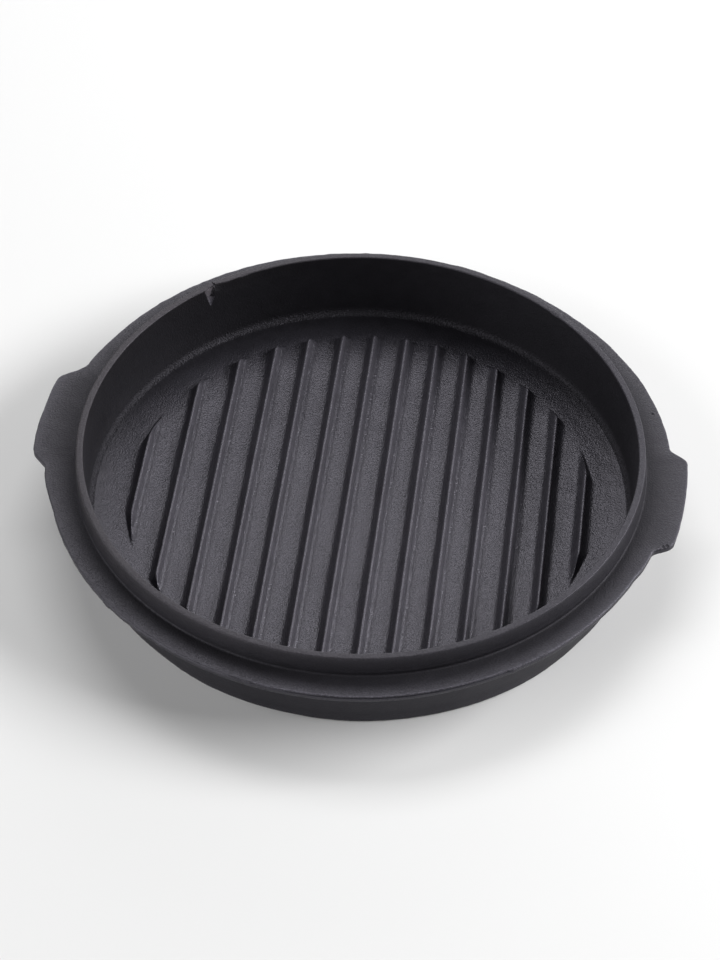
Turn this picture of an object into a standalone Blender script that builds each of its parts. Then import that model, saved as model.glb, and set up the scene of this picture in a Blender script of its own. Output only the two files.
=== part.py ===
# Ribbed griddle lid of a cast-iron dutch oven, lying inside up on its flat outside.
# One iron casting: dish, floor ribs, locating rim, seating flange and two ears.
# Metres, +Z up. The origin is the middle of the flat resting face, and +X runs
# through the ears.
import bpy
import bmesh
from math import atan2, cos, pi, radians, sin, sqrt, tan
from mathutils import Vector

MM = 0.001

# Overall sizes
HEIGHT = 42.5 * MM                # resting face to rim top
RIM_BORE_RADIUS = 125.0 * MM      # inside of the rim, at its top
RIM_WALL = 3.1 * MM               # thickness of the rim at its top
RIM_EDGE_RADIUS = 0.6 * MM

# Locating rim above the flange
RIM_HEIGHT = 10.5 * MM            # flange top to rim top
RIM_OUTER_DRAFT = radians(5.0)
RIM_ROOT_FILLET = 2.0 * MM

# Flange plate and ears
FLANGE_WIDTH = 12.1 * MM          # from the rim's outside, at its top
FLANGE_THICKNESS = 3.4 * MM
PLATE_EDGE_BEVEL = 0.7 * MM
EAR_PROJECTION = 8.0 * MM         # flange edge to the middle of an ear's outer edge
EAR_TIP_HALF_WIDTH = 26.5 * MM
EAR_ROOT_HALF_WIDTH = 31.0 * MM
EAR_EDGE_CROWN = 1.2 * MM         # how far the outer edge bows out
EAR_CORNER_RADIUS = 6.5 * MM
EAR_ROOT_RADIUS = 6.0 * MM

# Dish wall below the flange
WALL_THICKNESS = 4.9 * MM         # at the flange's underside
WALL_OUTER_DRAFT = radians(5.0)
UNDERSIDE_FILLET = 2.5 * MM
BASE_EDGE_RADIUS = 2.0 * MM

# Inside of the dish
FLOOR_THICKNESS = 6.0 * MM
INNER_DRAFT = radians(1.3)
LEDGE_HEIGHT = 2.4 * MM           # wall foot above the floor
LEDGE_STEP = 0.9 * MM             # how far the wall foot steps inwards
FOOT_WIDTH = 7.0 * MM             # hollow curve from the ledge to the floor

# Floor ribs
RIB_COUNT = 14
RIB_HEIGHT = 4.0 * MM
RIB_CREST_WIDTH = 1.2 * MM
RIB_SHOULDER_WIDTH = 1.1 * MM     # steep upper part of a flank, in plan
RIB_SHOULDER_DROP = 2.2 * MM
RIB_FOOT_WIDTH = 2.9 * MM         # hollow lower part of a flank, in plan
RIB_WIDE_GAP = 2.1 * MM           # what the first gap has over the even ones
RIB_WIDE_GAPS = 4                 # gaps over which that dies away
RIB_FIELD_OFFSET = -0.2 * MM      # middle of the rib field from the origin
RIB_SKEW = radians(4.0)           # the ribs' turn from square to the ears
RIB_WALL_CLEARANCE = 19.0 * MM    # crest ends to the wall foot
RIB_SIDE_MARGIN = 3.4 * MM        # outermost crest to the circle of the crest ends
RIB_END_RUNOUT = 2.2 * MM         # how far a rib's end runs out, crest to floor
FOOT_SHARE = 0.45                 # largest part of a gap that one rib's half may fill

# Fineness of the curves
TURN_STEPS = 96
FILLET_STEPS = 3
EDGE_STEPS = 2
CROWN_STEPS = 6

# Heights and radii that follow
FLANGE_TOP = HEIGHT - RIM_HEIGHT
FLANGE_BOTTOM = FLANGE_TOP - FLANGE_THICKNESS
FLOOR_TOP = FLOOR_THICKNESS
WALL_FOOT = FLOOR_TOP + LEDGE_HEIGHT
RIM_OUTER_RADIUS = RIM_BORE_RADIUS + RIM_WALL
WALL_OUTER_RADIUS = (RIM_BORE_RADIUS + WALL_THICKNESS
                     - (HEIGHT - FLANGE_BOTTOM) * tan(INNER_DRAFT))
WALL_FOOT_RADIUS = RIM_BORE_RADIUS - (HEIGHT - WALL_FOOT) * tan(INNER_DRAFT)
FLANGE_RADIUS = RIM_OUTER_RADIUS + FLANGE_WIDTH
PLATE_BORE_RADIUS = RIM_BORE_RADIUS + 0.5 * RIM_WALL
FILLET_BITE = 0.05 * FLANGE_THICKNESS    # how far a fillet's end sinks into the plate
EAR_REACH = FLANGE_RADIUS + EAR_PROJECTION
CREST_END_RADIUS = WALL_FOOT_RADIUS - RIB_WALL_CLEARANCE
RIB_ROOT_DEPTH = FLOOR_THICKNESS / 3.0   # how deep a rib is rooted in the floor


def clear_scene():
    for thing in list(bpy.data.objects):
        bpy.data.objects.remove(thing, do_unlink=True)


def iron_material(name):
    iron = bpy.data.materials.new(name)
    iron.use_nodes = True
    shader = iron.node_tree.nodes["Principled BSDF"]
    shader.inputs["Base Color"].default_value = (0.022, 0.022, 0.024, 1.0)
    shader.inputs["Roughness"].default_value = 0.55
    shader.inputs["Metallic"].default_value = 0.3
    return iron


def arc(centre, radius, start, end, steps=FILLET_STEPS):
    """Points on an arc about centre, from the start angle to the end angle."""
    turns = [start + (end - start) * i / steps for i in range(steps + 1)]
    return [(centre[0] + radius * cos(a), centre[1] + radius * sin(a)) for a in turns]


def hollow_curve(start, end, steps=FILLET_STEPS):
    """A quarter of an ellipse that leaves start downwards and meets end level."""
    width = start[0] - end[0]
    drop = start[1] - end[1]
    turns = [0.5 * pi * i / steps for i in range(steps + 1)]
    return [(start[0] - width * (1.0 - cos(a)), start[1] - drop * sin(a)) for a in turns]


def dish_profile():
    """Half section of the dish without its flange, from the floor's edge up the
    inside, over the rim and down the outside to the resting face."""
    ledge = (WALL_FOOT_RADIUS - LEDGE_STEP, WALL_FOOT - LEDGE_STEP)
    floor_edge = (ledge[0] - FOOT_WIDTH, FLOOR_TOP)
    foot = list(reversed(hollow_curve(ledge, floor_edge)))

    rim_round = RIM_EDGE_RADIUS
    inner_top = (RIM_BORE_RADIUS + rim_round, HEIGHT - rim_round)
    outer_top = (RIM_OUTER_RADIUS - rim_round, HEIGHT - rim_round)
    rim = (arc(inner_top, rim_round, pi, 0.5 * pi, EDGE_STEPS)
           + arc(outer_top, rim_round, 0.5 * pi, 0.0, EDGE_STEPS))

    root_radius = RIM_OUTER_RADIUS + (RIM_HEIGHT - RIM_ROOT_FILLET) * tan(RIM_OUTER_DRAFT)
    root_centre = (root_radius + RIM_ROOT_FILLET, FLANGE_TOP - FILLET_BITE + RIM_ROOT_FILLET)
    root = arc(root_centre, RIM_ROOT_FILLET, pi, 1.5 * pi)

    under_radius = WALL_OUTER_RADIUS + UNDERSIDE_FILLET
    under_centre = (under_radius, FLANGE_BOTTOM + FILLET_BITE - UNDERSIDE_FILLET)
    under = arc(under_centre, UNDERSIDE_FILLET, 0.5 * pi, pi)

    wall_drop = FLANGE_BOTTOM - UNDERSIDE_FILLET - BASE_EDGE_RADIUS
    base_radius = WALL_OUTER_RADIUS - wall_drop * tan(WALL_OUTER_DRAFT)
    base_centre = (base_radius - BASE_EDGE_RADIUS, BASE_EDGE_RADIUS)
    base = arc(base_centre, BASE_EDGE_RADIUS, 0.0, -0.5 * pi)

    return foot + [(WALL_FOOT_RADIUS, WALL_FOOT)] + rim + root + under + base


def new_object(name, bm):
    bmesh.ops.recalc_face_normals(bm, faces=bm.faces)
    mesh = bpy.data.meshes.new(name)
    bm.to_mesh(mesh)
    bm.free()
    thing = bpy.data.objects.new(name, mesh)
    bpy.context.scene.collection.objects.link(thing)
    return thing


def mark_as_tool(thing):
    """A body that is only joined to or cut from another."""
    thing.hide_render = True
    thing.display_type = "WIRE"
    return thing


def turned_solid(name, profile):
    """Spin an open half section about Z and close its two ends with flat faces."""
    bm = bmesh.new()
    points = [bm.verts.new((r, 0.0, z)) for r, z in profile]
    edges = [bm.edges.new(pair) for pair in zip(points, points[1:])]
    bmesh.ops.spin(bm, geom=points + edges, axis=(0.0, 0.0, 1.0), cent=(0.0, 0.0, 0.0),
                   angle=2.0 * pi, steps=TURN_STEPS, use_merge=True)
    rims = [edge for edge in bm.edges if edge.is_boundary]
    bmesh.ops.holes_fill(bm, edges=rims, sides=0)
    return new_object(name, bm)


def extruded_outline(name, outline, bottom, top):
    bm = bmesh.new()
    base = bm.faces.new([bm.verts.new((x, y, bottom)) for x, y in outline])
    grown = bmesh.ops.extrude_face_region(bm, geom=[base])
    lifted = [part for part in grown["geom"] if isinstance(part, bmesh.types.BMVert)]
    bmesh.ops.translate(bm, verts=lifted, vec=(0.0, 0.0, top - bottom))
    return new_object(name, bm)


def rounded_corner(before, corner, after, radius):
    """Points of a round that replaces a corner, tangent to both of its sides. It
    leaves some of each side to the corner at the side's other end."""
    side_share = 0.45
    to_before = (Vector(before) - Vector(corner)).normalized()
    to_after = (Vector(after) - Vector(corner)).normalized()
    half = 0.5 * to_before.angle(to_after)
    room = side_share * min((Vector(before) - Vector(corner)).length,
                            (Vector(after) - Vector(corner)).length)
    reach = min(radius / tan(half), room)
    centre_way = (to_before + to_after).normalized()
    centre = Vector(corner) + centre_way * reach / cos(half)
    first = Vector(corner) + to_before * reach - centre
    last = Vector(corner) + to_after * reach - centre
    start = atan2(first.y, first.x)
    turn = atan2(last.y, last.x) - start
    turn = (turn + pi) % (2.0 * pi) - pi
    return arc(centre, first.length, start, start + turn)


def ear_outline():
    """The +X ear, from its root on the -Y side round to its root on the +Y side."""
    tip = EAR_REACH - EAR_EDGE_CROWN
    root = sqrt(FLANGE_RADIUS ** 2 - EAR_ROOT_HALF_WIDTH ** 2)
    crown_radius = (EAR_TIP_HALF_WIDTH ** 2 + EAR_EDGE_CROWN ** 2) / (2.0 * EAR_EDGE_CROWN)
    crown_half = atan2(EAR_TIP_HALF_WIDTH, crown_radius - EAR_EDGE_CROWN)
    crown = arc((EAR_REACH - crown_radius, 0.0), crown_radius, -crown_half, crown_half,
                CROWN_STEPS)
    root_turn = atan2(EAR_ROOT_HALF_WIDTH, root)
    rim_step = 2.0 * EAR_ROOT_RADIUS / FLANGE_RADIUS
    on_rim = (FLANGE_RADIUS * cos(root_turn + rim_step),
              FLANGE_RADIUS * sin(root_turn + rim_step))
    root_corner = (root, EAR_ROOT_HALF_WIDTH)
    tip_corner = (tip, EAR_TIP_HALF_WIDTH)
    tip_round = rounded_corner(crown[-2], tip_corner, root_corner, EAR_CORNER_RADIUS)
    root_round = rounded_corner(tip_corner, root_corner, on_rim, EAR_ROOT_RADIUS)
    upper = tip_round + root_round
    lower = [(x, -y) for x, y in reversed(upper)]
    inner = [point for point in crown if abs(point[1]) < tip_round[0][1]]
    return lower + inner + upper


def plate_outline():
    """Round flange with an ear at each end of X."""
    ear = ear_outline()
    ear_end = atan2(ear[-1][1], ear[-1][0])
    gap_steps = int(TURN_STEPS * (pi - 2.0 * ear_end) / (2.0 * pi))
    rim = arc((0.0, 0.0), FLANGE_RADIUS, ear_end, pi - ear_end, gap_steps)[1:-1]
    half = ear + rim
    return half + [(-x, -y) for x, y in half]


def ring_plate(name):
    """The flange with its ears, bored so that it ends inside the dish's wall."""
    plate = extruded_outline(name, plate_outline(), FLANGE_BOTTOM, FLANGE_TOP)
    bevel = plate.modifiers.new("edge_round", "BEVEL")
    bevel.width = PLATE_EDGE_BEVEL
    bevel.segments = 2
    bevel.limit_method = "ANGLE"
    bevel.angle_limit = radians(60.0)
    bore_outline = arc((0.0, 0.0), PLATE_BORE_RADIUS, 0.0, 2.0 * pi, TURN_STEPS)[:-1]
    margin = FLANGE_THICKNESS
    bore = extruded_outline(name + "_bore", bore_outline,
                            FLANGE_BOTTOM - margin, FLANGE_TOP + margin)
    add_boolean(plate, mark_as_tool(bore), "DIFFERENCE")
    return mark_as_tool(plate)


def add_boolean(body, tool, operation):
    step = body.modifiers.new(tool.name, "BOOLEAN")
    step.operation = operation
    step.solver = "EXACT"
    step.object = tool


def rib_gaps():
    """Distances between neighbouring ribs. The first few are wider than the rest,
    and all of them together fill the width that the crest ends leave."""
    wider = [RIB_WIDE_GAP * max(0.0, 1.0 - gap / RIB_WIDE_GAPS) for gap in range(RIB_COUNT - 1)]
    width = 2.0 * (CREST_END_RADIUS - RIB_SIDE_MARGIN)
    even = (width - sum(wider)) / len(wider)
    return [even + extra for extra in wider]


def rib_offsets():
    """Where the ribs' middle lines cross the line that is square to them."""
    gaps = rib_gaps()
    offsets = [RIB_FIELD_OFFSET - 0.5 * sum(gaps)]
    for gap in gaps:
        offsets.append(offsets[-1] + gap)
    return offsets


def rib_section():
    """Half of a rib's section from its crest to its buried root, as (offset, height).
    The hollow foot takes less where the ribs are too close for its full width."""
    crest = (0.5 * RIB_CREST_WIDTH, RIB_HEIGHT)
    shoulder = (crest[0] + RIB_SHOULDER_WIDTH, RIB_HEIGHT - RIB_SHOULDER_DROP)
    room = FOOT_SHARE * min(rib_gaps()) - shoulder[0]
    foot = (shoulder[0] + min(RIB_FOOT_WIDTH, room), 0.0)
    return [crest] + hollow_curve(shoulder, foot) + [(foot[0], -RIB_ROOT_DEPTH)]


def rib_bars(name):
    """Straight bars of the ribs' section, all longer than the floor."""
    half = rib_section()
    section = [(-x, z) for x, z in reversed(half)] + half
    length = 2.0 * RIM_BORE_RADIUS
    bm = bmesh.new()
    for offset in rib_offsets():
        end = [bm.verts.new((offset + x, -0.5 * length, FLOOR_TOP + z)) for x, z in section]
        face = bm.faces.new(end)
        grown = bmesh.ops.extrude_face_region(bm, geom=[face])
        moved = [part for part in grown["geom"] if isinstance(part, bmesh.types.BMVert)]
        bmesh.ops.translate(bm, verts=moved, vec=(0.0, length, 0.0))
    bars = new_object(name, bm)
    bars.rotation_euler = (0.0, 0.0, RIB_SKEW)
    return mark_as_tool(bars)


def rib_field(name):
    """The bars cut off all round by a cone, so that every rib's end slopes down."""
    slope = RIB_END_RUNOUT / RIB_HEIGHT
    above = RIB_HEIGHT + RIB_ROOT_DEPTH
    below = -2.0 * RIB_ROOT_DEPTH
    profile = [(CREST_END_RADIUS + slope * (RIB_HEIGHT - z), FLOOR_TOP + z)
               for z in (above, below)]
    field = turned_solid(name, profile)
    add_boolean(field, rib_bars(name + "_bars"), "INTERSECT")
    return mark_as_tool(field)


def grill_lid():
    lid = turned_solid("grill_lid", dish_profile())
    add_boolean(lid, ring_plate("flange_plate"), "UNION")
    add_boolean(lid, rib_field("rib_field"), "UNION")
    lid.data.materials.append(iron_material("seasoned_iron"))
    lid.data.shade_smooth()
    lid.data.set_sharp_from_angle(angle=radians(35.0))
    return lid


clear_scene()
grill_lid()
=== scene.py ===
from math import atan2, cos, pi, radians, sin, sqrt, tan

import bpy
import numpy as np
from mathutils import Matrix, Vector, noise
from mathutils.geometry import delaunay_2d_cdt


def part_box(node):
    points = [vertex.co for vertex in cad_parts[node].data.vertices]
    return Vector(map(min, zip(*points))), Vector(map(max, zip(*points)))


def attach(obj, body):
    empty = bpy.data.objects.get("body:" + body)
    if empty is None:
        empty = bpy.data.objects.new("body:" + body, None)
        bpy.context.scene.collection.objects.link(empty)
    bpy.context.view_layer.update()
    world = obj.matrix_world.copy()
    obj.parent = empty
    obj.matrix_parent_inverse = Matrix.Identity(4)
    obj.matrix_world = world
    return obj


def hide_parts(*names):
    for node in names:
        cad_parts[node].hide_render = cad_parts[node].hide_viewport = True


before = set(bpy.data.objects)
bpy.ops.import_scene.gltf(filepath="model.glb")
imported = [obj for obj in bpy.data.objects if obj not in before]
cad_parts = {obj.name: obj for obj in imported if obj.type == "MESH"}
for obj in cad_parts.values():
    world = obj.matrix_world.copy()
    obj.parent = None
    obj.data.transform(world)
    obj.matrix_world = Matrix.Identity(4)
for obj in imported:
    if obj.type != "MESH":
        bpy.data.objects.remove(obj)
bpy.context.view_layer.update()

MM = 0.001
LID_LOW, LID_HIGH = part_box("grill_lid")

# Throughout, a turn is an angle round the dish's middle: 0 is the lid's right and 90 its back.
# Radii are taken from the dish's middle too

# The overall sizes, from the frame
HEIGHT = LID_HIGH.z
EAR_REACH = LID_HIGH.x
FLANGE_REACH = LID_HIGH.y
DISH_SHIFT = 0.9 * MM             # how far the dish stands off the middle between the ears

# The dish's inside
FLOOR_TOP = 6.0 * MM
FOOT_START_RADIUS = 113.4 * MM    # where the floor starts to rise towards the wall
FOOT_RISE = 0.8 * MM
FOOT_HOLLOWNESS = 0.6             # share of that rise that follows a curve
FOOT_SLOPE = radians(9.0)         # how steep the floor is where the wall's fillet starts
FOOT_FILLET = 3.0 * MM
INNER_DRAFT = radians(1.3)

# The raised rim, whose inner and outer edges are rounded
RIM_HEIGHT = 10.5 * MM
RIM_BORE_RADIUS = 125.0 * MM
RIM_WALL = 3.1 * MM
RIM_INNER_ROUND = 0.5 * MM
RIM_OUTER_ROUND = 0.5 * MM
RIM_INNER_SHARE = 0.3             # share of the rim's width that the inner edge's dents take in
RIM_FALL = 0.04 * MM              # how far the rim's top falls outwards
RIM_OUTER_DRAFT = radians(5.0)
RIM_ROOT_ROUND = 0.9 * MM         # fillet between the rim's outside and the flange
RIM_ROOT_MARGIN = 0.6 * MM        # level ring outside that fillet, with the same painted shade

# The faint bead above that fillet: its profile as share of how proud it is and height in mm from
# its middle, and how strong it is at some turns in degrees
BEAD_LEVEL = 2.35 * MM            # its middle's height above the flange
BEAD_TOP = 0.3 * MM               # how far above its middle it starts
BEAD_PROUD = 0.08 * MM
BEAD_PROFILE = ((0.8, 0.12), (1.0, -0.1), (0.7, -0.35))
BEAD_SHARES = ((-180, 0.0), (-98, 0.0), (-72, 1.0), (20, 1.0), (60, 0.0), (180, 0.0))

# The flange, and how far its outline stands out or in, in mm, at some turns in degrees
FLANGE_RADIUS = 140.0 * MM
FLANGE_FALL = 0.3 * MM            # how far the flange falls outwards from the rim's root
FLANGE_THICKNESS = 3.4 * MM
FLANGE_SWELLS = ((-180, 1.1), (-165, 2.7), (-155, 0.8), (-132, 0.5), (-118, 0.0), (-78, 0.4),
                 (-56, -0.2), (-44, 0.0), (-34, -0.5), (-24, -0.6), (-16, 0.2), (18, 0.8), (30, 0.3),
                 (42, -0.7), (56, -1.6), (68, -1.5), (82, -0.6), (94, -0.2), (110, 0.2),
                 (125, 0.7), (142, 0.8), (156, 0.8), (166, 1.3), (180, 1.1))

# The flange's edge from its top down, as zone, distance in from the outline and depth under the
# flange's top, in mm: a burr, the thin fin of the mould's parting line and the groove under it
EDGE_PROFILE = (("edge", 0.9, 0.0), ("burr", 0.4, -0.05), ("burr", 0.12, -0.02),
                ("burr", 0.0, 0.25), ("edge", 0.1, 0.44), ("edge", 0.7, 0.52),
                ("edge", 0.7, 0.95), ("edge", 0.27, 1.15), ("edge", 0.15, 1.35))
EDGE_START = EDGE_PROFILE[0][1] * MM
EDGE_INSET = EDGE_PROFILE[-1][1] * MM
EDGE_ROUND = 0.7 * MM             # round on the flange's lower edge
EDGE_RAGGED_FROM = -150.0         # turns in degrees between which the edge is roughest
EDGE_RAGGED_TO = -98.0
EDGE_RAGGEDNESS = 1.1

# Ears, which are the flange's plate drawn outwards: the half of each towards the back, then
# towards the front, as tip half width, root half width, crown, corner radius and root radius
RIGHT_EAR_HALVES = ((27.0, 31.5, 1.6, 5.0, 5.0), (26.2, 31.2, 2.2, 6.0, 5.0))
LEFT_EAR_HALVES = ((25.5, 33.5, 1.0, 8.0, 12.0), (24.0, 31.0, 2.4, 6.5, 3.5))
EAR_FOOT_TURN = radians(15.0)     # how far round from an ear's middle the flange's own edge starts
EAR_ROOT_REACH = 1.6              # how far along that edge the root's round aims, in root radii

# The dish's outside, and the radius of the round on the base's edge, in mm, at some turns
WALL_OUTER_RADIUS = 129.6 * MM
WALL_OUTER_DRAFT = radians(5.6)
UNDERSIDE_FILLET = 2.5 * MM
BASE_ROUNDS = ((-180, 4.6), (-150, 5.2), (-124, 5.0), (-110, 2.8), (-96, 2.4), (-80, 1.3), (-46, 1.3),
               (-30, 3.2), (0, 3.0), (90, 1.6), (180, 4.6))

# Ribs on the floor
RIB_COUNT = 14
RIB_HEIGHT = 4.0 * MM
RIB_CROWN = 0.1 * MM              # how far a crest falls to its edges
RIB_CREST_HALF = 0.45 * MM
RIB_HALF_WIDTH = 4.6 * MM
RIB_HOLLOWNESS = (2.4, 3.2)       # power of the left and right flanks' curves, from crest to floor
RIB_WAVINESS = 0.22               # how much a flank's width wanders, and over what length
RIB_WAVE = 38.0 * MM
RIB_WAVE_STEPS = (0.37, 0.8)      # how far apart ribs, and a rib's flanks, lie in that wandering
RIB_FIRST_OFFSET = -101.8 * MM
RIB_EVEN_GAP = 15.26 * MM
RIB_WIDE_GAP = 2.1 * MM
RIB_WIDE_GAPS = 4
RIB_SKEW = radians(4.0)
RIB_SLIPS = (0.0, 0.0, 0.1, 0.0, -0.8, -0.1, -0.3, 0.0, -0.4, -0.5, -0.7, -0.4, -0.7, 0.0)
CREST_END_RADIUS = 105.2 * MM
RIB_END_RUNOUT = 2.2 * MM
RIB_END_ROUND = 0.35 * MM         # round between a rib's crest and its sloping end
RIB_END_CAP = 1.6                 # how high above the crest, in rib heights, that slope counts

# The chip in the rim's inner edge: a face that turns in from the left side and ends at a crack,
# with a small pocket under it and a worn edge beside it. Heights in mm, turns in degrees
CHIP_FOOT, CRACK_FOOT, CHIP_TOP = 31.7, 37.5, HEIGHT / MM
CHIP_LEFT = ((CHIP_FOOT, 135.7), (CHIP_TOP, 137.2))
CHIP_FACE_TURN = 0.4 * MM         # how much deeper the face lies for each degree from the left side
CRACK_MIDDLE = ((CRACK_FOOT, 135.5), (CHIP_TOP, 134.2))
CRACK_HALF = 0.17
CRACK_DEPTH = 0.9 * MM
POCKET_RIGHT = ((CHIP_FOOT, 135.6), (33.2, 134.9), (36.2, 134.6), (CRACK_FOOT, 135.2))
POCKET_DEPTH = 0.8 * MM
SCOOP_FOOT, SCOOP_END = 38.5, 131.5       # where the worn edge fades out, down and to the right
SCOOP_DEPTH = 1.3 * MM
CHIP_FINISH_FROM = 0.01 * MM      # depth from which the chip's own finish shows

# Small marks: on the flange's outline as turn and half width in degrees and how proud in mm,
# and dents in the rim's top, at its inner and outer edge, as turn, half width and depth in mm
OUTLINE_MARKS = ((143.3, 0.5, 0.4), (134.8, 0.4, -0.15), (128.2, 0.5, 0.15), (-51.7, 0.5, 0.5),
                 (-119.0, 0.6, -0.5), (-124.5, 0.5, -0.45), (-131.0, 0.7, 0.4), (-20.2, 1.4, -0.35))
INNER_DENTS = ((135.9, 0.8, 0.4), (54.1, 0.5, 0.7), (127.0, 0.6, 0.4), (12.0, 0.5, 0.3))
OUTER_DENTS = ((50.9, 0.6, 0.6), (-70.0, 0.5, 0.3), (-38.0, 0.4, 0.25))

# How far the casting's skin is uneven by zone, in mm: up and down, and in and out
UNEVEN = {"foot": (0.16, 0.0), "ledge": (0.3, 0.25), "wall": (0.0, 0.12), "rim": (0.16, 0.06),
          "spigot": (0.0, 0.12), "bead": (0.0, 0.12), "root": (0.12, 0.12), "flange": (0.3, 0.0),
          "burr": (0.26, 0.24), "edge": (0.26, 0.24), "under": (0.3, 0.0), "side": (0.0, 0.16),
          "round": (0.0, 0.2), "base": (0.0, 0.0)}
# Lumps of the skin, as strength, size in mm and seed. The floor's strengths are in mm
SKIN_LUMPS = ((0.45, 9.0, 1), (0.55, 3.6, 2))
FLOOR_LUMPS = ((0.14, 12.0, 3), (0.1, 5.0, 4))
RIB_SEED = 5
SEED_STEP = (17.3, 5.1)           # how far apart two seeds lie in the noise

# Finish of each zone: base colour's strength, roughness and depth of the grain. The low tones of
# the foot, ledge, wall and root are painted shade, and the crest's light tone is wear with a painted
# highlight
FINISH_AND_PAINTED_LIGHT = {"floor": (0.022, 0.36, 1.0), "crest": (0.048, 0.36, 0.9), "foot": (0.009, 0.40, 0.5),
            # the ledge's and the wall's low tones are painted shade in the dish's hollow
            "ledge": (0.004, 0.70, 2.2), "wall": (0.003, 0.60, 0.6), "chip": (0.080, 0.50, 0.5),
            "rim": (0.020, 0.56, 0.7), "spigot": (0.012, 0.54, 0.5), "bead": (0.012, 0.56, 0.5),
            # the root's low tone is painted shade in the crease at the rim's root
            "root": (0.004, 0.70, 0.8), "flange": (0.014, 0.44, 1.0), "burr": (0.042, 0.40, 1.2),
            "edge": (0.018, 0.48, 0.7), "under": (0.020, 0.55, 0.8), "side": (0.010, 0.52, 0.3),
            "round": (0.016, 0.52, 0.5), "base": (0.020, 0.55, 0.8)}
# The crests are lighter from wear and from a painted highlight; the further reach down the right flank is
# painted light
CREST_WEAR_AND_HIGHLIGHT = (0.85 * MM, 1.2 * MM)        # how far the crests' wear and painted highlight reach down the left and right flanks
CREST_WEAR_AND_HIGHLIGHT_END = 1.6              # the wear and painted highlight are gone at this many times that reach
CREST_END_FADE = 2.0 * MM         # length over which the wear and painted highlight fade at a crest's end
FLOOR_SHADE_START = 111.0 * MM       # where painted shade starts to darken the floor towards the wall, and where it is full
FLOOR_SHADE_FULL = 121.0 * MM
FLANGE_SHADE_FULL_TO = 0.1              # shares of the flange's width, from the rim out, between which the painted shade from the rim's root fades out
FLANGE_SHADE_END = 0.95          # the finish changes

# Hue, from bluish at 0 to brownish at 1: the whole lid's, and what the rim's left and the crests add
HUE_BASE = 0.2
HUE_LEFT_RIM = 0.6
HUE_CREST = 0.1
COOL_IRON = (0.96, 0.94, 1.20, 1.0)
WARM_IRON = (1.10, 0.96, 0.98, 1.0)
SHEEN_TINT = (0.90, 0.865, 1.0, 1.0)

# Noise in the finish, as size of its lumps, detail and roughness
SAND = (0.75 * MM, 1.0, 0.5)
PEBBLES = (1.6 * MM, 1.0, 0.5)
MOTTLE = (7.0 * MM, 3.0, 0.6)
CLOUDS = (40.0 * MM, 2.0, 0.5)
GRAIN_DEPTH = 0.25 * MM
PEBBLE_SHARE = 0.4                # the pebbles' height, as a share of the sand's
SAND_LOW, SAND_HIGH = 0.36, 0.64  # range of the sand noise that the specks span
SPECK_CONTRAST = 0.65             # how far specks change the tone, and the roughness
SPECK_GLOSS = 0.08
PATCH_CONTRAST = 0.5              # how far mottle and clouds change the tone, and the roughness
PATCH_GLOSS = 0.16

# Pits, as x, y, z and radius in mm
PITS = ((127.2, 53.8, 32.0, 0.9), (141.6, -28.0, 32.0, 1.1), (143.1, -27.1, 32.0, 1.1))
PIT_BOTTOM = 0.5                  # share of a pit's radius that is its flat bottom
# how far the pits are darkened, as painted shade in them
PIT_PAINTED_SHADE = 0.7
PIT_ROUGHNESS = 0.3
PIT_DEPTH = 1.8                   # as a multiple of the grain's depth

# Fineness of the mesh: columns, and where they stand closer, as from, to and step in degrees
COLUMN_STEP = radians(0.75)
CLOSE_COLUMNS = ((9.0, 15.0, 0.25), (-16.0, -9.5, 0.25), (132.3, 138.2, 0.16),
                 (164.5, 172.5, 0.25), (-173.0, -166.0, 0.25))
# Steps along each stretch of the section
STEPS = {"foot": 5, "foot fillet": 10, "wall": 6, "chip wall": 23, "inner round": 3, "rim top": 4,
         "outer round": 4, "spigot": 6, "root": 5, "flange": 8, "edge": 2, "edge round": 3,
         "under": 5, "underside fillet": 4, "side": 7, "base round": 5}
CORNER_STEPS = 8
EAR_EDGE_STEPS = 24
WALL_FOOT_MARGIN = 1.5 * MM       # stretches without rows at the wall's foot and top
WALL_TOP_MARGIN = 0.8 * MM
CHIP_WALL_DEPTH = 11.4 * MM       # how far down the rows stand close, for the chip
BASE_RINGS = (120.0, 110.0, 90.0, 65.0, 40.0, 18.0, 4.0)         # radii under the base, in mm
# The floor's grid: its columns beside each rib's middle and its rows from the rim in, both in mm
GRID_RADIUS = 112.0 * MM
GRID_HALF_WIDTH = 108.6 * MM
RIB_COLUMNS = (0.0, 0.32, 0.55, 0.7, 0.95, 1.3, 1.8, 2.6, 3.7, 4.8)
END_ROWS = (0.0, 1.6, 3.0, 3.9, 4.5, 5.1, 5.7, 6.3, 6.9, 7.5, 8.2, 9.0, 10.0, 11.4)
MIDDLE_ROWS = 66
MICRON_DIGITS = 6                 # columns within a micrometre of each other are one
HULL_TRIANGLES = 0                # kind of result asked of the triangulation, and how near points
JOIN_DISTANCE = 1e-7              # have to be for it to join them

# Camera, as the photograph was taken: from the front, a little right of the middle
CAMERA_DISTANCE = 1.285
CAMERA_ELEVATION = radians(45.95)
CAMERA_AZIMUTH = radians(-10.22)
CAMERA_ROLL = radians(0.62)
CAMERA_TARGET = Vector((3.94 * MM + DISH_SHIFT, -23.38 * MM, 42.5 * MM))
CAMERA_LENS = 144.55
CAMERA_SENSOR = 36.0

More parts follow.
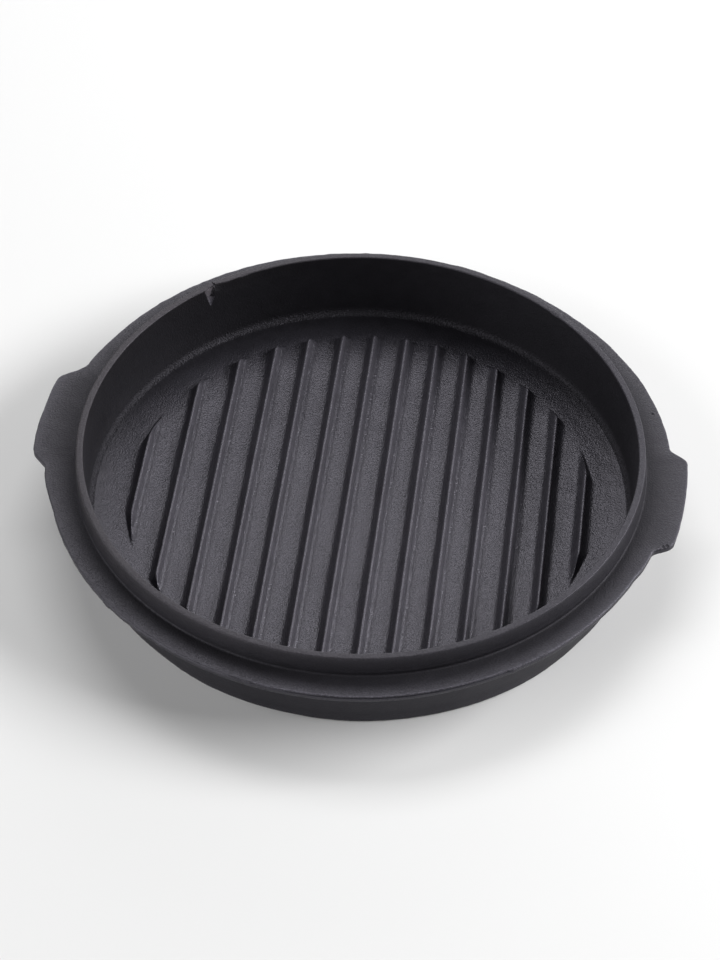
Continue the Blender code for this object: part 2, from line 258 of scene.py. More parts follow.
# The studio: the pale floor that the lid lies on, soft lights as name, azimuth, elevation, width
# and height in degrees as seen from the lid, and brightness, and the pale back
GROUND_RADIUS = 1.3
GROUND_SIDES = 96
GROUND_GAP = 0.2 * MM
GROUND_COLOUR = (0.72, 0.72, 0.72, 1.0)
GROUND_ROUGHNESS = 0.9
SOFTBOX_DISTANCE = 1.8
SOFTBOXES = (("key_right", 12, 31.7, 42, 9.5, 32.0), ("high_back", 106, 54, 42, 22, 5.0),
             ("back_right", 45, 18, 34, 22, 1.9), ("front_left", 214, 24, 52, 46, 3.4),
             ("low_back", 90, 13, 46, 25, 2.6))
WORLD_COLOUR = (1.0, 1.0, 1.0, 1.0)
WORLD_LIGHT = 0.02
WORLD_BEHIND = 0.95               # how bright the studio's back looks beyond the floor


def inner_wall_radius(z):
    """Radius of the wall's inside at a height."""
    return RIM_BORE_RADIUS - (HEIGHT - z) * tan(INNER_DRAFT)


def rim_outer_radius(z):
    """Radius of the rim's outside at a height."""
    return RIM_OUTER_RADIUS + (HEIGHT - z) * tan(RIM_OUTER_DRAFT)


def outer_wall_radius(z):
    """Radius of the dish's outside at a height."""
    return WALL_OUTER_RADIUS - (SIDE_TOP - z) * tan(WALL_OUTER_DRAFT)


# Levels and radii that follow
FLANGE_TOP = HEIGHT - RIM_HEIGHT
FLANGE_BOTTOM = FLANGE_TOP - FLANGE_THICKNESS
ROOT_LEVEL = FLANGE_TOP + FLANGE_FALL
SIDE_TOP = FLANGE_BOTTOM - UNDERSIDE_FILLET
WALL_FOOT = FLOOR_TOP + FOOT_RISE + FOOT_FILLET * cos(FOOT_SLOPE)
WALL_FOOT_RADIUS = inner_wall_radius(WALL_FOOT)
FILLET_START_RADIUS = WALL_FOOT_RADIUS - FOOT_FILLET * (1.0 - sin(FOOT_SLOPE))
RIM_OUTER_RADIUS = RIM_BORE_RADIUS + RIM_WALL


def arc(centre, radius, start, end, steps):
    """Points on an arc about centre, from the start angle to the end angle."""
    angles = spread(start, end, steps)
    return [(centre[0] + radius * cos(a), centre[1] + radius * sin(a)) for a in angles]


def spread(first, last, count, ends=True):
    """Values in count even steps from first to last."""
    values = [first + (last - first) * i / count for i in range(count + 1)]
    return values if ends else values[1:-1]


def wrapped(turns):
    """The same turns between minus half a turn and half a turn."""
    return (turns + pi) % (2.0 * pi) - pi


def rounded_corner(before, corner, after, radius):
    """Points of a round that replaces a corner, tangent to both of its sides."""
    to_before = (Vector(before) - Vector(corner)).normalized()
    to_after = (Vector(after) - Vector(corner)).normalized()
    half = 0.5 * to_before.angle(to_after)
    reach = radius / tan(half)
    centre = Vector(corner) + (to_before + to_after).normalized() * reach / cos(half)
    first = Vector(corner) + to_before * reach - centre
    last = Vector(corner) + to_after * reach - centre
    start = atan2(first.y, first.x)
    turn = wrapped(atan2(last.y, last.x) - start)
    return arc(centre, first.length, start, start + turn, CORNER_STEPS)


def between_knots(turns, knots):
    """Value of a smooth curve through knots, which are turns in degrees with their values."""
    at = np.degrees(turns)
    knot_turns, values = np.array(knots, float).T
    left = np.clip(np.searchsorted(knot_turns, at, side="right") - 1, 0, len(knots) - 2)
    share = np.clip((at - knot_turns[left]) / (knot_turns[left + 1] - knot_turns[left]), 0.0, 1.0)
    share = share * share * (3.0 - 2.0 * share)
    return values[left] + (values[left + 1] - values[left]) * share


def bumps(turns, marks):
    """Sum of small rounded marks along the turns: each has its turn, half width and size."""
    total = np.zeros(len(turns))
    for turn, half_width, size in marks:
        away = np.degrees(wrapped(turns - radians(turn)))
        total += size * np.exp(-(away / half_width) ** 2)
    return MM * total


def lumps(points, size, seed):
    """Smooth noise of about half either way at each point, in lumps of about that size."""
    aside = Vector((SEED_STEP[0] * seed, SEED_STEP[1] * seed, 0.0))
    values = [noise.noise(Vector(point) / size + aside) for point in points.reshape(-1, 3)]
    return np.array(values).reshape(points.shape[:-1])


def flange_radius(turns):
    """Radius of the flange's outline without its ears."""
    return FLANGE_RADIUS + MM * between_knots(wrapped(turns), FLANGE_SWELLS)


def ear_half(reach, foot_radius, sizes):
    """Turns and radii along half an ear's outline, from the middle of its outer edge to the
    flange, whose radius there is foot_radius."""
    tip_half, root_half, crown, corner_radius, root_radius = [size * MM for size in sizes]
    crown_radius = (tip_half ** 2 + crown ** 2) / (2.0 * crown)
    crown_half = atan2(tip_half, crown_radius - crown)
    edge = arc((reach - crown_radius, 0.0), crown_radius, 0.0, crown_half, EAR_EDGE_STEPS)
    tip = (reach - crown, tip_half)
    root = (sqrt(foot_radius ** 2 - root_half ** 2), root_half)
    aim = atan2(root_half, root[0]) + EAR_ROOT_REACH * root_radius / foot_radius
    tip_round = rounded_corner(edge[-2], tip, root, corner_radius)
    root_round = rounded_corner(tip, root, (foot_radius * cos(aim), foot_radius * sin(aim)), root_radius)
    x, y = np.array([p for p in edge if p[1] < tip_round[0][1]] + tip_round + root_round).T
    return np.arctan2(y, x), np.hypot(x, y)


def outline_radius(turns):
    """Radius of the flange's outline with its ears."""
    outline = flange_radius(turns)
    outline = outline / np.maximum(outline * np.abs(np.sin(turns)) / FLANGE_REACH, 1.0)
    for reach, middle, onward, halves in ((EAR_REACH - DISH_SHIFT, 0.0, 1.0, RIGHT_EAR_HALVES),
                                          (EAR_REACH + DISH_SHIFT, pi, -1.0, LEFT_EAR_HALVES)):
        away = np.abs(wrapped(turns - middle))
        for sizes, side in zip(halves, (1.0, -1.0)):
            foot_radius = flange_radius(middle + onward * side * EAR_FOOT_TURN)
            ear_turns, ear_radii = ear_half(reach, foot_radius, sizes)
            on_ear = (np.sin(turns) * side >= 0.0) & (away <= ear_turns[-1])
            outline = np.where(on_ear, np.interp(away, ear_turns, ear_radii), outline)
    return outline


def chip_depth(turns, z):
    """How deep the chip goes into the wall at a height."""
    level = z / MM
    if level < CHIP_FOOT:
        return np.zeros(len(turns))
    at = np.degrees(turns)
    left = np.interp(level, *np.array(CHIP_LEFT).T)
    if level < CRACK_FOOT:
        right = np.interp(level, *np.array(POCKET_RIGHT).T)
        across = np.clip((left - at) / (left - right), 0.0, 1.0)
        return POCKET_DEPTH * np.sqrt(np.sin(pi * across))
    crack = np.interp(level, *np.array(CRACK_MIDDLE).T)
    depth = CHIP_FACE_TURN * (left - at) + CRACK_DEPTH * (at < crack + CRACK_HALF)
    return np.where((at < left) & (at > crack - CRACK_HALF), depth, 0.0)


def scoop_depth(turns, z):
    """How deep the rim's inner edge is worn away to the right of the chip's crack."""
    crack = CRACK_MIDDLE[-1][1]
    at = np.degrees(turns)
    across = np.where(at < crack, np.clip((at - SCOOP_END) / (crack - SCOOP_END), 0.0, 1.0), 0.0)
    return SCOOP_DEPTH * across * np.clip((z / MM - SCOOP_FOOT) / (CHIP_TOP - SCOOP_FOOT), 0.0, 1.0)


def column_turns():
    """Turns of the mesh's columns, closer together at the ears' sides and the chip."""
    turns = [-pi]
    while turns[-1] < pi - COLUMN_STEP:
        step = COLUMN_STEP
        for low, high, close_step in CLOSE_COLUMNS:
            if radians(low) <= turns[-1] < radians(high):
                step = radians(close_step)
        turns.append(turns[-1] + step)
    return np.array(turns[:-1])


def dish_rows():
    """Rows of (zone, radius, height) from the floor's edge up the inside of the wall."""
    rows = []
    for s in spread(0.0, 1.0, STEPS["foot"]):
        rise = (1.0 - FOOT_HOLLOWNESS) * s + FOOT_HOLLOWNESS * s * s
        radius = FOOT_START_RADIUS + (FILLET_START_RADIUS - FOOT_START_RADIUS) * s
        rows.append(("foot", radius, FLOOR_TOP + FOOT_RISE * rise))
    centre = (WALL_FOOT_RADIUS - FOOT_FILLET, WALL_FOOT)
    fillet = arc(centre, FOOT_FILLET, FOOT_SLOPE - 0.5 * pi, 0.0, STEPS["foot fillet"])
    rows += [("ledge", r, z) for r, z in fillet[1:]]
    chip_wall = HEIGHT - CHIP_WALL_DEPTH
    heights = spread(WALL_FOOT + WALL_FOOT_MARGIN, chip_wall, STEPS["wall"])
    heights += spread(chip_wall, HEIGHT - WALL_TOP_MARGIN, STEPS["chip wall"])[1:]
    rows += [("wall", inner_wall_radius(z), z) for z in heights]
    return rows


def rim_rows():
    """Rows over the rim and down its outside. On the bead's rows, the radius is the share of
    how proud the bead is."""
    inner = (RIM_BORE_RADIUS + RIM_INNER_ROUND, HEIGHT - RIM_INNER_ROUND)
    outer = (RIM_OUTER_RADIUS - RIM_OUTER_ROUND, HEIGHT - RIM_FALL - RIM_OUTER_ROUND)
    profile = arc(inner, RIM_INNER_ROUND, pi, 0.5 * pi, STEPS["inner round"])
    for s in spread(0.0, 1.0, STEPS["rim top"], ends=False):
        profile.append((inner[0] + (outer[0] - inner[0]) * s, HEIGHT - RIM_FALL * s))
    profile += arc(outer, RIM_OUTER_ROUND, 0.5 * pi, 0.0, STEPS["outer round"])
    rows = [("rim", r, z) for r, z in profile]

    bead = FLANGE_TOP + BEAD_LEVEL
    heights = spread(outer[1], bead + BEAD_TOP, STEPS["spigot"])[1:]
    rows += [("spigot", rim_outer_radius(z), z) for z in heights]
    rows += [("bead", share, bead + above * MM) for share, above in BEAD_PROFILE]

    centre = (rim_outer_radius(bead + BEAD_TOP) + RIM_ROOT_ROUND, ROOT_LEVEL + RIM_ROOT_ROUND)
    rows += [("root", r, z) for r, z in arc(centre, RIM_ROOT_ROUND, pi, 1.5 * pi, STEPS["root"])]
    rows.append(("root", centre[0] + RIM_ROOT_MARGIN, ROOT_LEVEL))
    return rows


def flange_rows():
    """Rows out over the flange, round its edge and back under it. In the zones flange and under,
    the radius is a share of the way out to the edge, and on the edge it counts from the outline."""
    shares = spread(0.0, 1.0, STEPS["flange"], ends=False)
    rows = [("flange", s, ROOT_LEVEL - FLANGE_FALL * s) for s in shares]
    rows += [(zone, -inset * MM, FLANGE_TOP - below * MM) for zone, inset, below in EDGE_PROFILE]
    round_top = FLANGE_BOTTOM + EDGE_ROUND
    heights = spread(rows[-1][2], round_top, STEPS["edge"])[1:]
    rows += [("edge", -EDGE_INSET, z) for z in heights]
    for a in spread(0.0, 0.5 * pi, STEPS["edge round"])[1:]:
        rows.append(("edge", -EDGE_INSET - EDGE_ROUND * (1.0 - cos(a)), round_top - EDGE_ROUND * sin(a)))
    rows += [("under", s, FLANGE_BOTTOM) for s in spread(1.0, 0.0, STEPS["under"], ends=False)]
    return rows


def outside_rows():
    """Rows down the dish's outside and in under its base. On the rows of the zone round, the
    height is the angle round the base's edge."""
    centre = (WALL_OUTER_RADIUS + UNDERSIDE_FILLET, SIDE_TOP)
    fillet = arc(centre, UNDERSIDE_FILLET, 0.5 * pi, pi, STEPS["underside fillet"])
    rows = [("side", r, z) for r, z in fillet]
    round_top = MM * max(size for turn, size in BASE_ROUNDS)
    rows += [("side", outer_wall_radius(z), z) for z in spread(SIDE_TOP, round_top, STEPS["side"])[1:]]
    angles = spread(0.0, 0.5 * pi, STEPS["base round"])
    rows += [("round", outer_wall_radius(round_top), a) for a in angles]
    rows += [("base", radius * MM, 0.0) for radius in BASE_RINGS]
    return rows


def turned_points(turns, rows):
    """The section's rows round all columns, as an array of rows by columns by xyz."""
    base_round = MM * between_knots(turns, BASE_ROUNDS)
    bead_proud = BEAD_PROUD * between_knots(turns, BEAD_SHARES)
    outline = outline_radius(turns) + bumps(turns, OUTLINE_MARKS)
    inner_dents = bumps(turns, INNER_DENTS)
    outer_dents = bumps(turns, OUTER_DENTS)
    bead_root, root_end, under_end = [max(r for zone, r, z in rows if zone == name)
                                      for name in ("spigot", "root", "side")]
    points = np.zeros((len(rows), len(turns), 3))
    for i, (zone, r, z) in enumerate(rows):
        if zone == "bead":
            radius = bead_root + bead_proud * r
        elif zone == "flange":
            radius = root_end + (outline - EDGE_START - root_end) * r
        elif zone in ("burr", "edge"):
            radius = outline + r
        elif zone == "under":
            radius = under_end + (outline - EDGE_INSET - EDGE_ROUND - under_end) * r
        elif zone == "round":
            radius = r - base_round * (1.0 - cos(z))
            z = base_round * (1.0 - sin(z))
        else:
            radius = np.full(len(turns), r)
        if zone in ("wall", "rim"):
            depth = chip_depth(turns, z) + scoop_depth(turns, z)
            radius = np.maximum(radius, inner_wall_radius(z) + depth)
        points[i, :, 0] = radius * np.cos(turns)
        points[i, :, 1] = radius * np.sin(turns)
        points[i, :, 2] = z
        if zone == "rim":
            on_inner_edge = r < RIM_BORE_RADIUS + RIM_INNER_SHARE * RIM_WALL
            points[i, :, 2] -= inner_dents if on_inner_edge else outer_dents
    roughen(points, turns, rows)
    return points


def roughen(points, turns, rows):
    """Makes the turned surface uneven, as a sand mould leaves it."""
    skin = sum(strength * lumps(points, size * MM, seed) for strength, size, seed in SKIN_LUMPS)
    at = np.degrees(turns)
    ragged = 1.0 + EDGE_RAGGEDNESS * ((at > EDGE_RAGGED_FROM) & (at < EDGE_RAGGED_TO))
    for i, (zone, _, _) in enumerate(rows):
        upright, outward = UNEVEN[zone]
        fade = ragged if zone in ("burr", "edge") else 1.0
        points[i, :, 2] += MM * upright * skin[i] * fade
        points[i, :, 0] += MM * outward * skin[i] * np.cos(turns) * fade
        points[i, :, 1] += MM * outward * skin[i] * np.sin(turns) * fade


def rib_offsets():
    """Where each rib's middle line lies, square to the ribs."""
    offset = RIB_FIRST_OFFSET
    offsets = []
    for rib in range(RIB_COUNT):
        offsets.append(offset + RIB_SLIPS[rib] * MM)
        offset += RIB_EVEN_GAP + RIB_WIDE_GAP * max(0.0, 1.0 - rib / RIB_WIDE_GAPS)
    return np.array(offsets)


def nearest_rib(u):
    """Each point's nearest rib, how far off its middle line the point lies, and on which side
    of it: 1 on the right, -1 on the left."""
    offsets = rib_offsets()
    away = np.abs(u[..., None] - offsets)
    rib = away.argmin(-1)
    return rib, away.min(-1), np.sign(u - offsets[rib])


def rib_height(u, v):
    """Height of the ribs above the floor at u across them and v along them."""
    rib, aside, side = nearest_rib(u)
    wave = np.stack([rib * RIB_WAVE_STEPS[0], side * RIB_WAVE_STEPS[1], v / RIB_WAVE], -1)
    half_width = RIB_HALF_WIDTH * (1.0 + RIB_WAVINESS * lumps(wave, 1.0, RIB_SEED))
    share = np.clip((aside - RIB_CREST_HALF) / (half_width - RIB_CREST_HALF), 0.0, 1.0)
    crown = RIB_CROWN * np.minimum(aside / RIB_CREST_HALF, 1.0) ** 2
    power = np.where(side > 0.0, RIB_HOLLOWNESS[1], RIB_HOLLOWNESS[0])
    section = (RIB_HEIGHT - crown) * (1.0 - share) ** power
    past = (np.hypot(u, v) - CREST_END_RADIUS) / RIB_END_RUNOUT
    end = RIB_HEIGHT * np.clip(1.0 - past, 0.0, RIB_END_CAP)
    return np.clip(soft_minimum(section, end, RIB_END_ROUND), 0.0, RIB_HEIGHT)


def soft_minimum(first, second, blend):
    """The lower of two heights, rounded over where they meet, and zero where one is zero."""
    lower = 0.5 * (first + second - np.sqrt((first - second) ** 2 + blend ** 2))
    lift = np.clip(first / blend, 0.0, 1.0) * np.clip(second / blend, 0.0, 1.0)
    return lower + 0.5 * blend * lift


def floor_grid():
    """Points (u, v) of the floor, in columns along the ribs. The first and last rows
    lie on a circle, so that the rows run along the ribs' ends."""
    columns = [-GRID_HALF_WIDTH, GRID_HALF_WIDTH]
    offsets = rib_offsets()
    for offset in offsets:
        for aside in RIB_COLUMNS:
            columns += [offset - aside * MM, offset + aside * MM]
    columns += list(0.5 * (offsets[1:] + offsets[:-1]))
    columns = np.unique(np.round(np.array(columns), MICRON_DIGITS))
    columns = columns[np.abs(columns) <= GRID_HALF_WIDTH]
    reach = np.sqrt(GRID_RADIUS ** 2 - columns ** 2)
    ends = np.array(END_ROWS) * MM
    middle = np.linspace(-1.0, 1.0, MIDDLE_ROWS + 1)[1:-1]
    v = np.concatenate([-reach + ends[:, None], middle[:, None] * (reach - ends[-1]),
                        reach - ends[::-1][:, None]])
    return np.broadcast_to(columns, v.shape).copy(), v


def floor_points(u, v):
    """The floor with its ribs, which run askew, at the grid's points."""
    level = np.stack([u, v, np.zeros(u.shape)], -1)
    uneven = MM * sum(depth * lumps(level, size * MM, seed) for depth, size, seed in FLOOR_LUMPS)
    x = u * cos(RIB_SKEW) - v * sin(RIB_SKEW)
    y = u * sin(RIB_SKEW) + v * cos(RIB_SKEW)
    return np.stack([x, y, FLOOR_TOP + rib_height(u, v) + uneven], -1).reshape(-1, 3)


def quads(rows, columns, first=0, closed=False):
    """Corners of the faces of a grid of points that is stored row by row."""
    index = first + np.arange(rows * columns).reshape(rows, columns)
    right = np.roll(index, -1, axis=1) if closed else index[:, 1:]
    left = index if closed else index[:, :-1]
    return np.stack([left[:-1], right[:-1], right[1:], left[1:]], -1).reshape(-1, 4)


def band_faces(inner_loop, outer_loop, points):
    """Triangles that join the floor's grid to the ring round it. Both loops are convex
    and one lies within the other."""
    loop = list(inner_loop) + list(outer_loop)
    flat = [Vector(points[i][:2]) for i in loop]
    _, _, faces, sources, _, _ = delaunay_2d_cdt(flat, [], [], HULL_TRIANGLES, JOIN_DISTANCE)
    kept = []
    for face in faces:
        corners = [sources[c][0] for c in face]
        if any(c >= len(inner_loop) for c in corners):
            kept.append([loop[c] for c in corners])
    return kept


def mix_finish_and_painted_light(first, second, share):
    """Finish and painted light of two zones mixed by the second one's share, from 0 to 1."""
    share = np.clip(share, 0.0, 1.0)[:, None]
    return np.array(FINISH_AND_PAINTED_LIGHT[first]) * (1.0 - share) + np.array(FINISH_AND_PAINTED_LIGHT[second]) * share


def painted_wall_shade(radius):
    """Share of painted shade by the wall: 0 on the open floor, 1 where it meets the wall's fillet."""
    return np.clip((radius - FLOOR_SHADE_START) / (FLOOR_SHADE_FULL - FLOOR_SHADE_START), 0.0, 1.0)


def ring_finish_and_painted_light(turns, rows):
    """Finish at each point of the turned surface, with painted shade in the foot, ledge, wall and root."""
    finish_and_painted_light = np.empty((len(rows), len(turns), 3))
    for i, (zone, r, z) in enumerate(rows):
        finish_and_painted_light[i] = FINISH_AND_PAINTED_LIGHT[zone]
        if zone == "foot":
            # the foot darkens towards the wall, as painted shade
            finish_and_painted_light[i] = mix_finish_and_painted_light("floor", "foot", painted_wall_shade(np.array([r])))
        elif zone == "wall":
            finish_and_painted_light[i, chip_depth(turns, z) > CHIP_FINISH_FROM] = FINISH_AND_PAINTED_LIGHT["chip"]
        elif zone == "flange":
            # painted shade from the rim's root, fading out across the flange
            share = (r - FLANGE_SHADE_FULL_TO) / (FLANGE_SHADE_END - FLANGE_SHADE_FULL_TO)
            finish_and_painted_light[i] = mix_finish_and_painted_light("root", "flange", np.array([share]))
        elif zone == "burr":
            finish_and_painted_light[i, np.degrees(turns) <= EDGE_RAGGED_TO] = FINISH_AND_PAINTED_LIGHT["edge"]
    return finish_and_painted_light.reshape(-1, 3)


def crest_wear_and_highlight(u, v):
    """1 on the ribs' worn crests and their painted highlight, 0 away from them."""
    _, aside, side = nearest_rib(u)
    reach = np.where(side > 0.0, CREST_WEAR_AND_HIGHLIGHT[1], CREST_WEAR_AND_HIGHLIGHT[0])
    before_end = CREST_END_RADIUS + 0.5 * CREST_END_FADE - np.hypot(u, v)
    inside = np.clip(before_end / CREST_END_FADE, 0.0, 1.0)
    return (np.clip(CREST_WEAR_AND_HIGHLIGHT_END - aside / reach, 0.0, 1.0) * inside).ravel()


def floor_finish_and_painted_light(u, v):
    """Finish at each point of the floor, with painted shade by the wall and a painted highlight on the
    crests.
    """
    # painted shade darkens the floor towards the wall
    finish_and_painted_light = mix_finish_and_painted_light("floor", "foot", painted_wall_shade(np.hypot(u, v).ravel()))
    return finish_and_painted_light + crest_wear_and_highlight(u, v)[:, None] * (np.array(FINISH_AND_PAINTED_LIGHT["crest"]) - finish_and_painted_light)


def hue_share(points):
    """How brownish the seasoning is at each point, which is most on the left of the rim."""
    left = 0.5 - 0.5 * np.cos(np.arctan2(points[:, 1], points[:, 0]))
    high = np.clip((points[:, 2] - FLANGE_TOP) / RIM_HEIGHT, 0.0, 1.0)
    return HUE_BASE + HUE_LEFT_RIM * left * high


def store(mesh, name, values):
    """Keeps one value or colour for each vertex under a name that the material reads."""
    if values.ndim == 1:
        mesh.attributes.new(name, "FLOAT", "POINT").data.foreach_set("value", values)
    else:
        colours = np.concatenate([values, np.ones((len(values), 1))], axis=1)
        mesh.attributes.new(name, "FLOAT_COLOR", "POINT").data.foreach_set("color", colours.ravel())


def lid_mesh():
    """The casting as one closed mesh: a surface turned round the dish's middle, the floor's
    grid inside it and a band of triangles between the two."""
    turns = column_turns()
    rows = dish_rows() + rim_rows() + flange_rows() + outside_rows()
    ring = turned_points(turns, rows).reshape(-1, 3)
    u, v = floor_grid()
    points = np.concatenate([ring, floor_points(u, v)])

    grid = len(ring) + np.arange(u.size).reshape(u.shape)
    grid_edge = np.concatenate([grid[0], grid[1:, -1], grid[-1, -2::-1], grid[-2:0:-1, 0]])
    faces = quads(len(rows), len(turns), closed=True)[:, ::-1].tolist()
    faces += quads(*u.shape, first=len(ring)).tolist()
    faces += band_faces(grid_edge, np.arange(len(turns)), points)
    faces.append(list(range(len(ring) - len(turns), len(ring))))

    points[:, 0] += DISH_SHIFT
    points = np.clip(points, np.array(LID_LOW), np.array(LID_HIGH))
    mesh = bpy.data.meshes.new("lid_casting")
    mesh.from_pydata(points.tolist(), [], faces)
    mesh.shade_smooth()
    store(mesh, "finish_and_painted_light", np.concatenate([ring_finish_and_painted_light(turns, rows), floor_finish_and_painted_light(u, v)]))
    hue = hue_share(points)
    hue[len(ring):] += HUE_CREST * crest_wear_and_highlight(u, v)
    store(mesh, "hue", hue)
    return mesh


class Nodes:
    """Builds a material's node tree."""

    def __init__(self, name):
        self.material = bpy.data.materials.new(name)
        self.material.use_nodes = True
        self.tree = self.material.node_tree
        self.shader = self.tree.nodes["Principled BSDF"]

    def add(self, kind, inputs=None, **settings):
        """A new node with its settings, and its inputs fed by values or by other nodes."""
        node = self.tree.nodes.new(kind)
        for key, value in settings.items():
            setattr(node, key, value)
        for key, value in (inputs or {}).items():
            self.feed(node.inputs[key], value)
        return node

    def feed(self, socket, value):
        if isinstance(value, bpy.types.NodeSocket):
            self.tree.links.new(value, socket)
        else:
            socket.default_value = value

    def math(self, operation, first, second, third=0.0):
        inputs = {0: first, 1: second, 2: third}
        return self.add("ShaderNodeMath", inputs, operation=operation).outputs[0]

    def noise(self, place, size, detail, roughness):
        """Noise whose lumps are about size metres across."""
        inputs = {"Vector": place, "Scale": 1.0 / size, "Detail": detail, "Roughness": roughness}
        return self.add("ShaderNodeTexNoise", inputs).outputs["Fac"]

    def ramp(self, value, low, high):
        """Value stretched so that low becomes 0 and high becomes 1."""
        inputs = {"Value": value, "From Min": low, "From Max": high}
        return self.add("ShaderNodeMapRange", inputs).outputs[0]

    def distance(self, first, second):
        inputs = {0: first, 1: second}
        return self.add("ShaderNodeVectorMath", inputs, operation="DISTANCE").outputs["Value"]

    def blend(self, share, first, second, mode="MIX"):
        """Two colours mixed. The node has several inputs A and B, and the colours' are 6 and 7."""
        inputs = {0: share, 6: first, 7: second}
        node = self.add("ShaderNodeMix", data_type="RGBA", blend_type=mode)
        for key, value in inputs.items():
            self.feed(node.inputs[key], value)
        return node.outputs[2]


def iron():
    """Sand-cast iron with a thin baked-on seasoning, nearly black."""
    build = Nodes("seasoned_iron")
    place = build.add("ShaderNodeTexCoord").outputs["Object"]
    # the finish holds tone, roughness and grain; its tone carries painted shade in the hollows and a
    # painted highlight on the crests
    finish_and_painted_light = build.add("ShaderNodeAttribute", attribute_name="finish_and_painted_light").outputs["Color"]
    parts = build.add("ShaderNodeSeparateColor", {"Color": finish_and_painted_light}).outputs
    tone, rough, grain = parts["Red"], parts["Green"], parts["Blue"]
    hue = build.add("ShaderNodeAttribute", attribute_name="hue").outputs["Fac"]
    sand, pebbles, mottle, clouds = [build.noise(place, *kind) for kind in (SAND, PEBBLES, MOTTLE, CLOUDS)]
    speck = build.math("SUBTRACT", build.ramp(sand, SAND_LOW, SAND_HIGH), 0.5)
    pits = 0.0
    for x, y, z, radius in PITS:
        away = build.distance(place, (x * MM, y * MM, z * MM))
        pits = build.math("MAXIMUM", pits, build.ramp(away, radius * MM, PIT_BOTTOM * radius * MM))

    patches = build.math("ADD", mottle, clouds)
    patchy = build.math("MULTIPLY_ADD", patches, PATCH_CONTRAST, 1.0 - PATCH_CONTRAST)
    contrast = build.math("MULTIPLY", grain, SPECK_CONTRAST)
    strength = build.math("MULTIPLY", tone, build.math("MULTIPLY_ADD", speck, contrast, patchy))
    # painted shade in the pits
    strength = build.math("MULTIPLY", strength, build.math("MULTIPLY_ADD", pits, -PIT_PAINTED_SHADE, 1.0))
    grey = build.add("ShaderNodeCombineColor", {"Red": strength, "Green": strength, "Blue": strength})
    shade = build.blend(hue, COOL_IRON, WARM_IRON)
    colour = build.blend(1.0, shade, grey.outputs["Color"], "MULTIPLY")

    smoothest = build.math("SUBTRACT", rough, 0.5 * PATCH_GLOSS)
    uneven = build.math("MULTIPLY_ADD", mottle, PATCH_GLOSS, smoothest)
    glossy = build.math("MULTIPLY_ADD", speck, build.math("MULTIPLY", grain, -SPECK_GLOSS), uneven)
    roughness = build.math("MULTIPLY_ADD", pits, PIT_ROUGHNESS, glossy)

    grains = build.math("MULTIPLY_ADD", pebbles, PEBBLE_SHARE, sand)
    surface = build.math("MULTIPLY_ADD", pits, -PIT_DEPTH, grains)
    bump = build.add("ShaderNodeBump", {"Strength": grain, "Distance": GRAIN_DEPTH, "Height": surface})

    build.feed(build.shader.inputs["Base Color"], colour)
    build.feed(build.shader.inputs["Roughness"], roughness)
    build.feed(build.shader.inputs["Specular Tint"], SHEEN_TINT)
    build.feed(build.shader.inputs["Normal"], bump.outputs["Normal"])
    return build.material


def add_object(name, data):
    """A new object in the scene."""
    item = bpy.data.objects.new(name, data)
    bpy.context.scene.collection.objects.link(item)
    return item


def add_lid():
    lid = add_object("lid_casting", lid_mesh())
    lid.data.materials.append(iron())
    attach(lid, "root")
    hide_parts("grill_lid")


def add_camera():
    forward = Vector((sin(CAMERA_AZIMUTH) * cos(CAMERA_ELEVATION),
                      cos(CAMERA_AZIMUTH) * cos(CAMERA_ELEVATION), -sin(CAMERA_ELEVATION)))
    level = Vector((cos(CAMERA_AZIMUTH), -sin(CAMERA_AZIMUTH), 0.0))
    upward = level.cross(forward)
    right = level * cos(CAMERA_ROLL) + upward * sin(CAMERA_ROLL)
    above = upward * cos(CAMERA_ROLL) - level * sin(CAMERA_ROLL)
    facing = Matrix((right, above, -forward)).transposed().to_4x4()
    camera = add_object("camera", bpy.data.cameras.new("camera"))
    camera.data.lens = CAMERA_LENS
    camera.data.sensor_width = CAMERA_SENSOR
    camera.data.sensor_fit = "HORIZONTAL"
    camera.matrix_world = Matrix.Translation(CAMERA_TARGET - forward * CAMERA_DISTANCE) @ facing
    bpy.context.scene.camera = camera


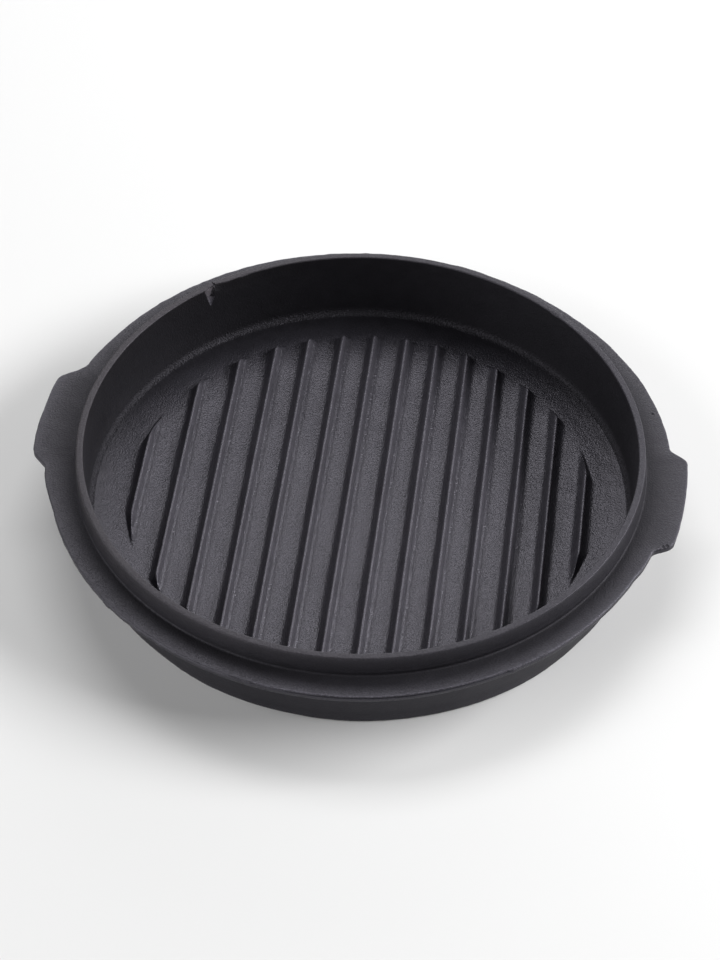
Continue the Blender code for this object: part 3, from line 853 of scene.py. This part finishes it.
def add_ground():
    """The pale floor, a round disc just under the lid."""
    turns = spread(0.0, 2.0 * pi, GROUND_SIDES)[:-1]
    corners = [(GROUND_RADIUS * cos(a), GROUND_RADIUS * sin(a), -GROUND_GAP) for a in turns]
    mesh = bpy.data.meshes.new("floor")
    mesh.from_pydata(corners, [], [list(range(GROUND_SIDES))])
    build = Nodes("pale_floor")
    build.feed(build.shader.inputs["Base Color"], GROUND_COLOUR)
    build.feed(build.shader.inputs["Roughness"], GROUND_ROUGHNESS)
    ground = add_object("floor", mesh)
    ground.data.materials.append(build.material)


def add_softbox(name, azimuth, elevation, width, height, brightness):
    """A soft light that spans width by height degrees as seen from the lid."""
    turn, rise = radians(azimuth), radians(elevation)
    towards = Vector((cos(rise) * cos(turn), cos(rise) * sin(turn), sin(rise)))
    lamp = bpy.data.lights.new(name, "AREA")
    lamp.shape = "RECTANGLE"
    lamp.size = 2.0 * SOFTBOX_DISTANCE * tan(0.5 * radians(width))
    lamp.size_y = 2.0 * SOFTBOX_DISTANCE * tan(0.5 * radians(height))
    lamp.energy = brightness * pi * lamp.size * lamp.size_y
    light = add_object(name, lamp)
    light.location = towards * SOFTBOX_DISTANCE
    light.rotation_euler = towards.to_track_quat("Z", "Y").to_euler()
    light.visible_camera = False


def add_world():
    """A studio whose pale back is seen past the floor, but gives hardly any light."""
    world = bpy.data.worlds.new("studio")
    bpy.context.scene.world = world
    world.use_nodes = True
    nodes, links = world.node_tree.nodes, world.node_tree.links
    background = nodes["Background"]
    background.inputs["Color"].default_value = WORLD_COLOUR
    path = nodes.new("ShaderNodeLightPath")
    strength = nodes.new("ShaderNodeMapRange")
    strength.inputs["To Min"].default_value = WORLD_LIGHT
    strength.inputs["To Max"].default_value = WORLD_BEHIND
    links.new(path.outputs["Is Camera Ray"], strength.inputs["Value"])
    links.new(strength.outputs[0], background.inputs["Strength"])


add_camera()
add_ground()
for softbox in SOFTBOXES:
    add_softbox(*softbox)
add_world()
bpy.context.scene.view_settings.view_transform = "Standard"
add_lid()
